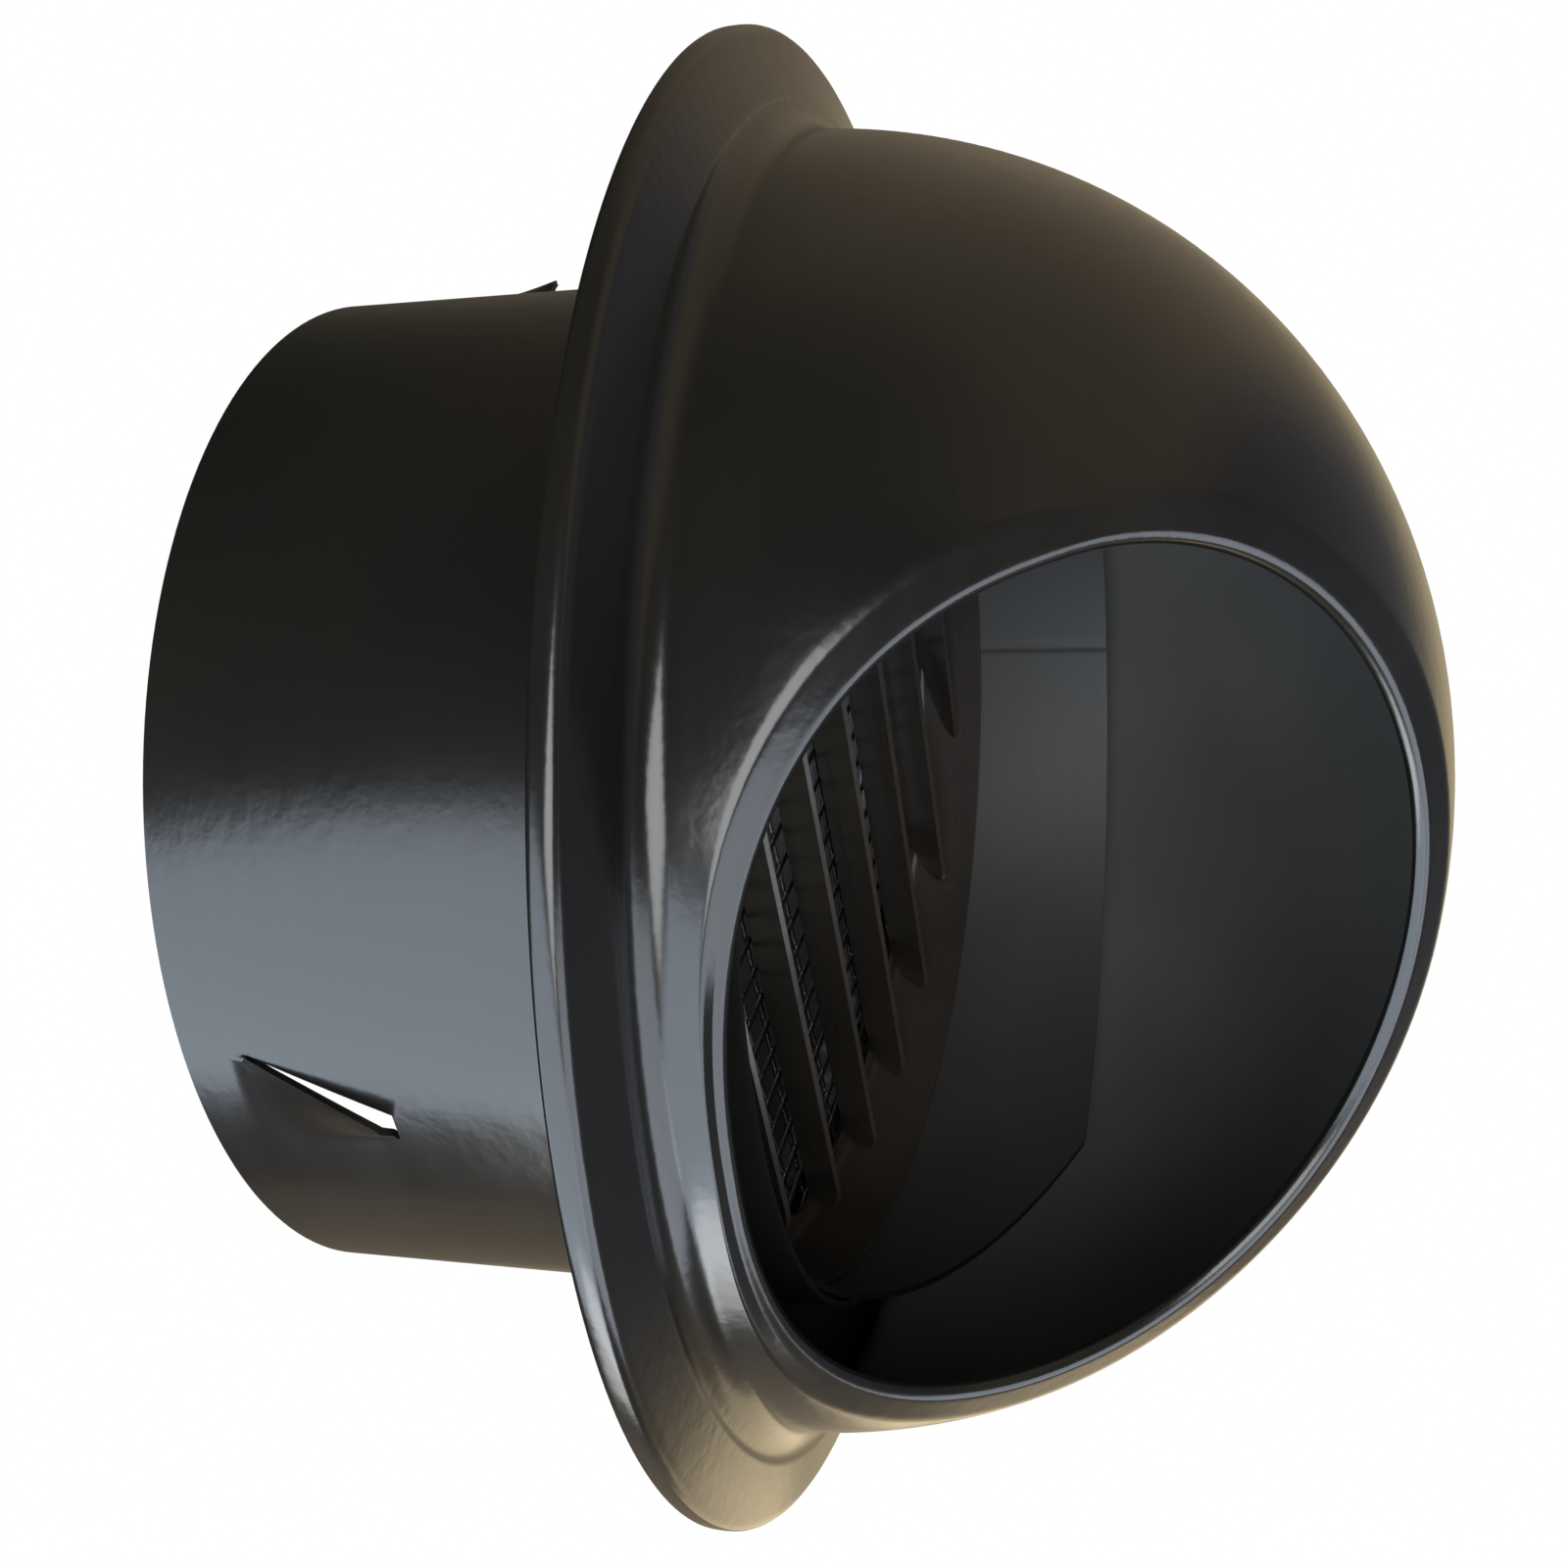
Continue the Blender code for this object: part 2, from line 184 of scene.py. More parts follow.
def blended(tree, share, first, second):
    """A colour that goes from the first to the second as share goes from 0 to 1.

    Each is either three numbers or the output of another node.
    """
    node = tree.nodes.new("ShaderNodeMix")
    node.data_type = "RGBA"
    tree.links.new(share, node.inputs["Factor"])
    for name, colour in (("A", first), ("B", second)):
        if isinstance(colour, tuple):
            node.inputs[name].default_value = (*colour, 1.0)
        else:
            tree.links.new(colour, node.inputs[name])
    return node.outputs["Result"]


def raised(tree, shader, *layers):
    """Bump from (height value, strength, height in metres) layers, one on top of the other."""
    below = None
    for height, strength, distance in layers:
        node = tree.nodes.new("ShaderNodeBump")
        node.inputs["Strength"].default_value = strength
        node.inputs["Distance"].default_value = distance
        tree.links.new(height, node.inputs["Height"])
        if below:
            tree.links.new(below, node.inputs["Normal"])
        below = node.outputs["Normal"]
    tree.links.new(below, shader.inputs["Normal"])


def around_axis(tree):
    """Coordinates that follow a turned surface: radius, distance round it and distance along it.

    The distance round is the angle about the Y axis times the tube's radius.
    """
    place = tree.nodes.new("ShaderNodeTexCoord").outputs["Object"]
    parts = tree.nodes.new("ShaderNodeSeparateXYZ")
    tree.links.new(place, parts.inputs["Vector"])
    angle = tree.nodes.new("ShaderNodeMath")
    angle.operation = "ARCTAN2"
    tree.links.new(parts.outputs["Z"], angle.inputs[0])
    tree.links.new(parts.outputs["X"], angle.inputs[1])
    arc = tree.nodes.new("ShaderNodeMath")
    arc.operation = "MULTIPLY"
    tree.links.new(angle.outputs[0], arc.inputs[0])
    arc.inputs[1].default_value = TUBE_RADIUS
    flat = tree.nodes.new("ShaderNodeCombineXYZ")
    tree.links.new(parts.outputs["X"], flat.inputs["X"])
    tree.links.new(parts.outputs["Z"], flat.inputs["Z"])
    radius = tree.nodes.new("ShaderNodeVectorMath")
    radius.operation = "LENGTH"
    tree.links.new(flat.outputs["Vector"], radius.inputs[0])
    joined = tree.nodes.new("ShaderNodeCombineXYZ")
    tree.links.new(radius.outputs["Value"], joined.inputs["X"])
    tree.links.new(arc.outputs[0], joined.inputs["Y"])
    tree.links.new(parts.outputs["Y"], joined.inputs["Z"])
    return place, joined.outputs["Vector"]


def enamel(name, colour, worn, gloss, peel=0.10, streak=0.02):
    """Black enamel over sheet steel, with a fine orange peel and a little grit.

    Faint lines run round the axis, where the polishing of the sheet shows through the paint.
    """
    material, tree, shader = blank_material(name)
    place, turned = around_axis(tree)
    cloud = noise(tree, place, CLOUD_GRAINS, detail=3.0)
    lines = noise(tree, turned, LINE_GRAINS, stretch=(1.0, 0.05, 1.0))
    grit = noise(tree, place, GRIT_GRAINS)
    skin = noise(tree, place, PEEL_GRAINS)
    tree.links.new(blended(tree, ranged(tree, cloud, 0.0, 1.0), colour, worn),
                   shader.inputs["Base Color"])
    rough = tree.nodes.new("ShaderNodeMath")
    rough.operation = "ADD"
    tree.links.new(ranged(tree, cloud, gloss - CLOUD_GLOSS, gloss + CLOUD_GLOSS), rough.inputs[0])
    tree.links.new(ranged(tree, lines, *LINE_GLOSS), rough.inputs[1])
    tree.links.new(rough.outputs[0], shader.inputs["Roughness"])
    shader.inputs["IOR"].default_value = 1.55
    raised(tree, shader, (skin, peel, PEEL_HEIGHT), (lines, streak, LINE_HEIGHT),
           (grit, GRIT_STRENGTH, GRIT_HEIGHT))
    return material


def barb_grid():
    """Distances round the tube, from a barb's cut, of the finer grid's columns."""
    cells = round(BARB_REACH / BARB_CELL)
    return np.sort(np.append(np.arange(-cells, cells + 1) * BARB_CELL, BARB_CUT))


def tube_columns():
    """Angles of the tube's columns from straight down, and each one's distance from its barb.

    Fine columns lie round each barb and across the weld, and coarse ones between them.
    """
    fine = [angle + barb_grid() / TUBE_RADIUS for angle in BARB_ANGLES]
    spacing = 2 * np.pi / len(BARB_ANGLES)
    between = spacing - 2 * BARB_REACH / TUBE_RADIUS
    share = np.linspace(0, 1, COARSE_COLUMNS + 1)[1:-1]
    coarse = [block[-1] + between * share for block in fine]
    weld = WELD_ANGLE + np.linspace(-WELD_REACH, WELD_REACH, WELD_COLUMNS) / TUBE_RADIUS
    angles = np.unique(np.round(np.concatenate([*fine, *coarse, weld]), 9))
    nearest = (angles - BARB_ANGLES[0] + spacing / 2) % spacing - spacing / 2
    return angles, nearest * TUBE_RADIUS


def tube_rows():
    """Distances behind the wall plane of the rows behind the slanting front end."""
    middle = np.linspace(0.0, BARB_TIP, MIDDLE_ROWS)[:-1]
    barb = np.arange(round((BARB_HEEL - BARB_TIP) / BARB_CELL) + 1) * BARB_CELL + BARB_TIP
    rear = np.linspace(BARB_HEEL, TUBE_REAR, REAR_ROWS)[1:]
    return np.concatenate([middle, barb, rear])


def tube_sheet():
    """Points of the tube's middle surface, and the quads that are left beside the barbs' cuts.

    A point is at an angle and a distance along. The front end goes back by the cosine of the
    angle from the scarf's bottom, where that is above 0. Columns lean towards the slanting cuts,
    and a barb stands out of the tube by its rise, times its share of the way from the bend to the
    tip, times a smooth step from its crease to its cut edge.
    """
    angle, off = tube_columns()
    scarf = np.clip(np.cos(angle - SCARF_TURN), 0, 1)
    front = TUBE_FRONT + (SCARF_FRONT - TUBE_FRONT) * scarf
    rows = tube_rows()
    ahead = np.linspace(0, 1, FRONT_ROWS)[:-1, None]
    along = np.concatenate([front + (rows[0] - front) * ahead,
                            np.repeat(rows[:, None], len(angle), axis=1)])
    slant = -BARB_SLANT * np.clip((along - BARB_TIP) / (BARB_HEEL - BARB_TIP), 0, 1)
    aside = off + slant * np.clip(1 - np.abs(off) / BARB_REACH, 0, 1)
    width = np.interp(along, [BARB_TIP, BARB_HEEL], [BARB_TIP_WIDTH, BARB_HEEL_WIDTH])
    across = np.clip(1 - (aside - slant) / width, 0, 1) * (off > BARB_CUT / 2)
    share = np.clip((BARB_BEND - along) / (BARB_BEND - BARB_TIP), 0, 1) * (
        along > BARB_TIP + BARB_CELL / 2)
    lift = BARB_RISE * share * across * across * (3 - 2 * across)
    weld = (angle - WELD_ANGLE) * TUBE_RADIUS / WELD_WIDTH
    radius = TUBE_RADIUS - TUBE_WALL / 2 + lift - WELD_HEIGHT * np.exp(-weld ** 2)
    turn = angle + (aside - off) / TUBE_RADIUS
    points = np.stack([radius * np.sin(turn), along, -radius * np.cos(turn)], axis=-1)
    faces = quads(*along.shape, ring=True)
    middle = (along[:-1] + along[1:]) / 2
    right_of_cut = off > -BARB_CUT / 2
    cut = right_of_cut & (off < BARB_CUT / 2) & (middle > BARB_TIP) & (middle < BARB_HEEL)
    tip = right_of_cut & (off < BARB_TIP_WIDTH) & (middle > BARB_TIP) & (
        middle < BARB_TIP + BARB_CELL)
    return points, faces[~(cut | tip)]


TUBE_BLACK = (0.0045, 0.0045, 0.0050)
TUBE_BROWN = (0.0080, 0.0070, 0.0060)
# The bore is the same black enamel as the tube's outside. These lighter blacks are painted light on
# the inside of the tube.
BORE_PAINTED_LIGHT_DARK = (0.026, 0.026, 0.025)
BORE_PAINTED_LIGHT_GREY = (0.036, 0.035, 0.033)
tube_paint = enamel("tube_enamel_satin", TUBE_BLACK, TUBE_BROWN, gloss=0.20)
bore_painted_light_paint = enamel("tube_bore_painted_light", BORE_PAINTED_LIGHT_DARK, BORE_PAINTED_LIGHT_GREY, gloss=0.50)
tube = made("rolled_tube", [tube_sheet()], tube_paint, wall=TUBE_WALL, inside=bore_painted_light_paint)
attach(tube, "root")
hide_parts("spigot_tube")


# Base plate ------------------------------------------------------------------------------------
# Pressed ring that closes the hood round the tube. Its edge is held in the flange's hem, and its
# collar is spot-welded to the tube. Its recess takes the gasket.

GAP = 0.3 * MM
SHEET = 0.5 * MM
FLANGE_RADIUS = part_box("cowl")[1].x
HEM_WIDTH = 3.4 * MM
PLATE_SHEET = 0.6 * MM
PLATE_FLOOR = -2.8 * MM           # middle of the sheet, ahead of the wall plane
PLATE_STEP = 1.6 * MM
PLATE_BEND = 0.9 * MM
ROUND = np.linspace(0, 2 * np.pi, 240, endpoint=False)     # angles of a turned grid's columns


def bent(corners, radius, steps=6):
    """Points along straight runs between corners, each inner corner rounded.

    The rounding is the parabola that leaves each run a radius before the corner.
    """
    corners = np.array(corners, float)
    share = np.linspace(0, 1, steps)[:, None]
    runs = [corners[:1]]
    for before, here, after in zip(corners, corners[1:], corners[2:]):
        come = here + radius * (before - here) / np.linalg.norm(before - here)
        leave = here + radius * (after - here) / np.linalg.norm(after - here)
        runs.append((1 - share) ** 2 * come + 2 * share * (1 - share) * here + share ** 2 * leave)
    return np.concatenate([*runs, corners[-1:]])


def filled(profile, spacing=0.4 * MM):
    """The same line with points added along its long runs, so that creases stay crisp."""
    count = np.maximum(np.ceil(np.linalg.norm(np.diff(profile, axis=0), axis=1) / spacing), 1)
    number = np.arange(len(profile))
    place = np.interp(np.arange(count.sum() + 1), np.concatenate([[0.0], np.cumsum(count)]), number)
    return np.stack([np.interp(place, number, column) for column in profile.T], axis=-1)


def spun(profile, loop=False):
    """Grid of a (radius, y) profile turned about the Y axis: x = r cos, z = r sin."""
    radius, along = profile[:, :1], profile[:, 1:]
    points = np.stack([radius * np.cos(ROUND), along + 0 * ROUND, radius * np.sin(ROUND)], axis=-1)
    return points, quads(len(profile), len(ROUND), ring=True, loop=loop)


plate_rim = -SHEET - GAP - PLATE_SHEET / 2
plate_step = FLANGE_RADIUS - HEM_WIDTH - 2 * GAP
plate_collar = TUBE_RADIUS + GAP + PLATE_SHEET / 2
plate_profile = bent([
    (FLANGE_RADIUS - SHEET - 2 * GAP, plate_rim), (plate_step, plate_rim),
    (plate_step - PLATE_STEP, PLATE_FLOOR), (plate_collar, PLATE_FLOOR),
    (plate_collar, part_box("base_plate")[0].y)], PLATE_BEND)
plate = made("backing_plate", [spun(filled(plate_profile, MM))], enamel(
    "plate_enamel_satin", TUBE_BLACK, TUBE_BROWN, gloss=0.26), wall=PLATE_SHEET)
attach(plate, "root")
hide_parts("base_plate")


# Cowl ------------------------------------------------------------------------------------------
# Flange and domed hood, deep-drawn from one steel sheet. The flange's edge is turned back in a
# hem. The oval mouth is punched on a slant, and its edge is set a little inward and folded under.

RIM_DEPTH = 2.2 * MM
RIM_BEND = 1.0 * MM
HEM_BEND = 0.5 * MM
FLANGE_DISH = 1.8 * MM
DOME_RADIUS = 61.2 * MM
DOME_DEPTH = 58.6 * MM
DOME_SQUARENESS = 2.04
FILLET = 3.0 * MM
MOUTH_TILT = np.radians(40.2)
MOUTH_LENGTH = 66.9 * MM
MOUTH_WIDTH = 75.4 * MM
MOUTH_SQUARENESS = 2.2            # of the half towards the wall
LIP_WIDTH = 3.7 * MM
LIP_NARROW = 1.4 * MM             # its width where the mouth runs close to the flange
LIP_BEND = 0.6 * MM
LIP_SLOPE = 1.4 * MM              # how deep the lip's face goes, from the dome's skin
LIP_HEM = 2.4 * MM                # how far the sheet is folded back under the face
LIP_TAPER = 4                     # the higher, the later the lip starts to narrow
FILLET_ROWS = 12
DOME_ROWS = 46
EDGE_TRIES = 40                   # guesses at the height of the mouth's edge

CROWN = np.array([0.0, -RIM_DEPTH, 0.0])
ACROSS = np.array([1.0, 0.0, 0.0])
PUNCH = np.array([0.0, -np.sin(MOUTH_TILT), -np.cos(MOUTH_TILT)])
ALONG = np.array([0.0, -np.cos(MOUTH_TILT), np.sin(MOUTH_TILT)])
FILLET_TOP = FLANGE_DISH + FILLET


def unit(vectors):
    """The same vectors, each made 1 long."""
    return vectors / np.linalg.norm(vectors, axis=-1, keepdims=True)


def dome_reach(way):
    """Distance from the dome's centre to its skin along unit directions.

    The skin is where (forward / depth) ^ n + (outward / radius) ^ n is 1.
    """
    forward = np.abs(way[..., 1:2]) / DOME_DEPTH
    outward = np.hypot(way[..., :1], way[..., 2:]) / DOME_RADIUS
    return (forward ** DOME_SQUARENESS + outward ** DOME_SQUARENESS) ** (-1 / DOME_SQUARENESS)


def dome_normal(point):
    """Outward unit normals of the dome, from the slope of the formula for its skin."""
    radius = np.hypot(point[..., :1], point[..., 2:])
    outward = (radius / DOME_RADIUS) ** (DOME_SQUARENESS - 1) / DOME_RADIUS / radius
    forward = -(np.abs(point[..., 1:2]) / DOME_DEPTH) ** (DOME_SQUARENESS - 1) / DOME_DEPTH
    return unit(np.concatenate([outward * point[..., :1], forward, outward * point[..., 2:]], -1))


def mouth_edge(turn, margin):
    """Points of the dome above the mouth's oval, widened by a margin, at angles round it.

    The oval is p = a cos ^ (2 / m), q = b sin ^ (2 / m), and its height along the punch is found
    by going to the skin in the direction of the last guess until it stays.
    """
    m = np.where(np.sin(turn) < 0, MOUTH_SQUARENESS, 2.0)
    c, s = np.cos(turn), np.sin(turn)
    p = ((MOUTH_WIDTH / 2 + margin) * np.sign(c) * np.abs(c) ** (2 / m))[:, None]
    q = ((MOUTH_LENGTH / 2 + margin) * np.sign(s) * np.abs(s) ** (2 / m))[:, None]
    height = np.full_like(p, DOME_DEPTH)
    for _ in range(EDGE_TRIES):
        reach = dome_reach(unit(p * ACROSS + q * ALONG + height * PUNCH))
        height = np.sqrt(reach ** 2 - p ** 2 - q ** 2)
    return p * ACROSS + q * ALONG + height * PUNCH


def cowl_skin():
    """Outer skin of the cowl, as columns from the hem over flange and dome into the lip.

    The flange is a turned profile. On the dome a column follows the great circle from the fillet
    to the mouth's edge. The lip is a bent line that goes inward from there and folds back under
    itself; where the lip is narrower, its face is shorter and the fold stays as it is.
    """
    spoke = np.stack([np.cos(ROUND), 0 * ROUND, np.sin(ROUND)], axis=-1)
    foot = DOME_RADIUS * (1 - (FILLET_TOP / DOME_DEPTH) ** DOME_SQUARENESS) ** (1 / DOME_SQUARENESS)
    crease = (foot + FILLET, -RIM_DEPTH - FLANGE_DISH)
    hem = bent([(FLANGE_RADIUS - HEM_WIDTH, 0.0), (FLANGE_RADIUS, 0.0),
                (FLANGE_RADIUS, -RIM_DEPTH)], HEM_BEND)[:-1]
    rim = bent([(FLANGE_RADIUS, -HEM_BEND), (FLANGE_RADIUS, -RIM_DEPTH), crease], RIM_BEND)[1:]
    corner = np.linspace(0, np.pi / 2, FILLET_ROWS)[1:]
    fillet = np.stack([foot + FILLET * (1 - np.sin(corner)),
                       -RIM_DEPTH - FILLET_TOP + FILLET * np.cos(corner)], axis=-1)
    flange, _ = spun(filled(np.concatenate([hem, rim, fillet])))
    sideways = spoke - (spoke @ PUNCH)[:, None] * PUNCH
    turn = np.arctan2(sideways @ ALONG, sideways @ ACROSS)
    lip_width = LIP_WIDTH + (LIP_NARROW - LIP_WIDTH) * np.maximum(-np.sin(turn), 0) ** LIP_TAPER
    edge = mouth_edge(turn, lip_width)
    start = unit(foot * spoke - np.array([0, FILLET_TOP, 0]))
    stop = unit(edge)
    sweep = np.arccos(np.sum(start * stop, axis=-1))[:, None]
    share = np.linspace(0, 1, DOME_ROWS)[1:, None, None]
    way = (np.sin((1 - share) * sweep) * start + np.sin(share * sweep) * stop) / np.sin(sweep)
    dome = CROWN + unit(way) * dome_reach(unit(way))
    normal = dome_normal(edge)
    back = edge - (edge @ PUNCH)[:, None] * PUNCH
    back = unit(back - np.sum(back * normal, axis=-1, keepdims=True) * normal)
    under = LIP_SLOPE + 2 * SHEET + GAP
    roll = filled(bent([(0.0, 0.0), (LIP_BEND, 0.0), (LIP_WIDTH, LIP_SLOPE), (LIP_WIDTH, under),
                        (LIP_WIDTH - LIP_HEM, under)], LIP_BEND))
    run = np.cumsum(np.hypot(*np.diff(roll, axis=0).T))
    narrowing = np.minimum(run / (LIP_WIDTH - LIP_BEND), 1)[:, None] * (LIP_WIDTH - lip_width)
    across, depth = roll[1:, :1] - narrowing, roll[1:, 1, None, None]
    lip = CROWN + edge - normal * depth - back * across[:, :, None]
    points = np.concatenate([flange, dome, lip])
    return points, quads(len(points), len(ROUND), ring=True)


HOOD_BLACK = (0.0045, 0.0045, 0.0045)
HOOD_BROWN = (0.0070, 0.0068, 0.0060)
# The cowl's inside is the same black enamel as its outside. These far lighter greys are painted
# light, standing in for the light that comes in through the mouth.
INNER_PAINTED_LIGHT_DARK = (0.100, 0.099, 0.094)
INNER_PAINTED_LIGHT_GREY = (0.130, 0.127, 0.120)
hood_paint = enamel("hood_enamel_satin", HOOD_BLACK, HOOD_BROWN, gloss=0.20)
inner_painted_light_paint = enamel("inner_enamel_painted_light", INNER_PAINTED_LIGHT_DARK, INNER_PAINTED_LIGHT_GREY, gloss=0.36)
cowl = made("drawn_cowl", [cowl_skin()], hood_paint, wall=SHEET, side=-1.0, inside=inner_painted_light_paint)
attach(cowl, "root")
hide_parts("cowl")


# Wall gasket -----------------------------------------------------------------------------------
# Ring die-cut from closed-cell foam, glued into the recess behind the flange so that the vent
# seals on an uneven wall.

FOAM_BEND = 0.5 * MM
FOAM_BLACK = (0.016, 0.016, 0.017)
FOAM_GREY = (0.034, 0.034, 0.036)
FOAM_CELLS = 1500.0               # to the metre
FOAM_CLOUDS = 300.0


def foam(name):
    """Closed-cell foam: dull, with small open cells on its cut faces."""
    material, tree, shader = blank_material(name)
    place = tree.nodes.new("ShaderNodeTexCoord").outputs["Object"]
    cells = tree.nodes.new("ShaderNodeTexVoronoi")
    cells.inputs["Scale"].default_value = FOAM_CELLS
    tree.links.new(place, cells.inputs["Vector"])
    cloud = noise(tree, place, FOAM_CLOUDS, detail=3.0)
    tree.links.new(blended(tree, ranged(tree, cloud, 0.0, 1.0), FOAM_BLACK, FOAM_GREY),
                   shader.inputs["Base Color"])
    shader.inputs["Roughness"].default_value = 0.92
    shader.inputs["Specular IOR Level"].default_value = 0.3
    raised(tree, shader, (cells.outputs["Distance"], 0.6, 0.3 * MM), (cloud, 0.4, 0.2 * MM))
    return material


foam_low, foam_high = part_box("wall_gasket")
foam_outer = foam_high.x
foam_inner = TUBE_RADIUS + 3 * GAP
foam_corners = [(foam_outer, foam_low.y), (foam_outer, foam_high.y), (foam_inner, foam_high.y),
                (foam_inner, foam_low.y)]
foam_loop = bent([foam_corners[-1], *foam_corners, foam_corners[0]], FOAM_BEND)[1:-1]
gasket = made("foam_ring", [spun(foam_loop, loop=True)], foam("gasket_foam_black"))
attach(gasket, "root")
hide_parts("wall_gasket")


# Louvre plate ----------------------------------------------------------------------------------
# Shallow cup pressed from one disc and pushed into the tube, its skirt forward. Seven flaps are
# lanced out of its face and bent forward from their top edge, so that rain runs off them.

INSERT_SEAT = np.array(Euler((np.radians(4.0), np.radians(-10.0), 0.0)).to_matrix())
INSERT_RADIUS = 47.75 * MM
LOUVRE_SHEET = 0.5 * MM
LOUVRE_PLANE = 0.15 * MM          # middle of the sheet, behind the wall plane
SKIRT_FRONT = -7.8 * MM
SKIRT_BEND = 1.3 * MM
FLAP_RADIUS = 45.45 * MM
FLAP_TOPS = np.linspace(-29.65, 44.65, 7) * MM    # levels of the bends
FLAP_REACH = 7.45 * MM            # from bend to free edge
FLAP_FEET = FLAP_TOPS - FLAP_REACH
FACE_RADIUS = INSERT_RADIUS - LOUVRE_SHEET / 2 - SKIRT_BEND
FLAP_OPEN = np.radians(49.9)
FLAP_BEND = 1.0 * MM
FLAP_CORNER = 3.6 * MM
FLAP_PLAY = 0.15 * MM             # between a flap's side and its slot
CORNER_ROWS = 7                   # of a slot's rounded lower corners
SLOT_ROWS = np.array([4.6, 5.6]) * MM         # above a slot's foot
WEB_ROWS = np.array([1.4, 2.9, 4.4]) * MM     # above a slot's top
BOTTOM_ROWS = 18
TOP_ROWS = 14
BEND_ROWS = 5
FLAP_ROWS = 8
FLAP_COLUMNS = 41
MARGIN_COLUMNS = 5


def seated(grid):
    """The same grid leaned forward at its top and turned in the tube, as the insert sits."""
    points, faces = grid
    return points @ INSERT_SEAT.T, faces


def half_width(level):
    """Half the width of plate that a slot takes, or would take, at each level.

    In a slot it is the chord of the flaps' circle, less the rounding of the lower corners:
    corner - sqrt(corner ^ 2 - (corner - height above the slot's foot) ^ 2). Between slots it goes
    straight from one slot's end to the next.
    """
    chord = np.sqrt(np.maximum(FLAP_RADIUS ** 2 - level ** 2, 0))
    slot = np.clip(np.searchsorted(FLAP_FEET, level + SEAM_MERGE) - 1, 0, len(FLAP_FEET) - 1)
    above = np.clip(level - FLAP_FEET[slot], 0, FLAP_CORNER)
    rounded = chord - FLAP_CORNER + np.sqrt(FLAP_CORNER ** 2 - (FLAP_CORNER - above) ** 2)
    inside = (level > FLAP_FEET[0] - SEAM_MERGE) & (level < FLAP_TOPS[slot] + SEAM_MERGE)
    ends = np.sort(np.concatenate([FLAP_FEET, FLAP_TOPS]))
    widths = np.sqrt(FLAP_RADIUS ** 2 - ends ** 2) - FLAP_CORNER * np.isin(ends, FLAP_FEET)
    between = np.interp(level, [-FACE_RADIUS, *ends, FACE_RADIUS], [0.0, *widths, 0.0])
    return np.where(inside, rounded, between)


def plate_levels():
    """Levels of the rows of the plate's face: fine at its top and bottom, and at the corners."""
    corner = FLAP_CORNER * (1 - np.cos(np.linspace(0, np.pi / 2, CORNER_ROWS)))
    bottom = np.linspace(0, np.arccos(-FLAP_FEET[0] / FACE_RADIUS), BOTTOM_ROWS)
    top = np.linspace(0, np.arccos(FLAP_TOPS[-1] / FACE_RADIUS), TOP_ROWS)
    slots = (FLAP_FEET[:, None] + np.concatenate([corner, SLOT_ROWS, [FLAP_REACH]])).ravel()
    webs = (FLAP_TOPS[:-1, None] + WEB_ROWS).ravel()
    levels = np.sort(np.concatenate([
        -FACE_RADIUS * np.cos(bottom), FACE_RADIUS * np.cos(top), slots, webs]))
    return levels[np.concatenate([[True], np.diff(levels) > 2 * SEAM_MERGE])]


def louvre_sheet():
    """Middle surface of the louvre plate: its margins, its webs, its flaps and its skirt.

    A flap runs round an arc of the bend's radius up to its opening angle and straight on from
    there. The skirt is the rim's outline carried forward along a bent line.
    """
    levels = plate_levels()
    rim = np.sqrt(np.maximum(FACE_RADIUS ** 2 - levels ** 2, 0))
    half = np.minimum(half_width(levels), rim)
    share = np.linspace(0, 1, MARGIN_COLUMNS)
    right = half[:, None] + (rim - half)[:, None] * share
    grids = []
    for x in (right, -right):
        points = np.stack([x, np.full_like(x, LOUVRE_PLANE), levels[:, None] + 0 * x], axis=-1)
        grids.append((points, quads(*x.shape)))
    spread = np.linspace(-1, 1, FLAP_COLUMNS)
    web = half[:, None] * spread
    points = np.stack([web, np.full_like(web, LOUVRE_PLANE), levels[:, None] + 0 * web], axis=-1)
    middle = (levels[1:] + levels[:-1]) / 2
    in_slot = np.any((middle[:, None] > FLAP_FEET) & (middle[:, None] < FLAP_TOPS), axis=1)
    grids.append((points, quads(*web.shape)[~in_slot]))
    corner = FLAP_CORNER * (1 - np.cos(np.linspace(np.pi / 2, 0, FLAP_ROWS)))
    run = np.concatenate([np.linspace(0, FLAP_BEND * FLAP_OPEN, BEND_ROWS), FLAP_REACH - corner])
    turn = np.minimum(run / FLAP_BEND, FLAP_OPEN)
    straight = run - turn * FLAP_BEND
    down = FLAP_BEND * np.sin(turn) + straight * np.cos(turn)
    out = FLAP_BEND * (1 - np.cos(turn)) + straight * np.sin(turn)
    for top in FLAP_TOPS:
        width = half_width(top - run) - FLAP_PLAY * np.minimum(run / FLAP_BEND, 1)
        x = width[:, None] * spread
        points = np.stack([x, LOUVRE_PLANE - out[:, None] + 0 * x, top - down[:, None] + 0 * x], -1)
        grids.append((points, quads(*x.shape)))
    angle = np.concatenate([np.arctan2(levels, rim), np.arctan2(levels, -rim)[-2:0:-1]])
    skirt = bent([(FACE_RADIUS, LOUVRE_PLANE), (FACE_RADIUS + SKIRT_BEND, LOUVRE_PLANE),
                  (FACE_RADIUS + SKIRT_BEND, SKIRT_FRONT)], SKIRT_BEND)[1:]
    radius, ahead = skirt[:, :1], skirt[:, 1:]
    points = np.stack([radius * np.cos(angle), ahead + 0 * angle, radius * np.sin(angle)], axis=-1)
    grids.append((points, quads(len(skirt), len(angle), ring=True)))
    return [seated(grid) for grid in grids]


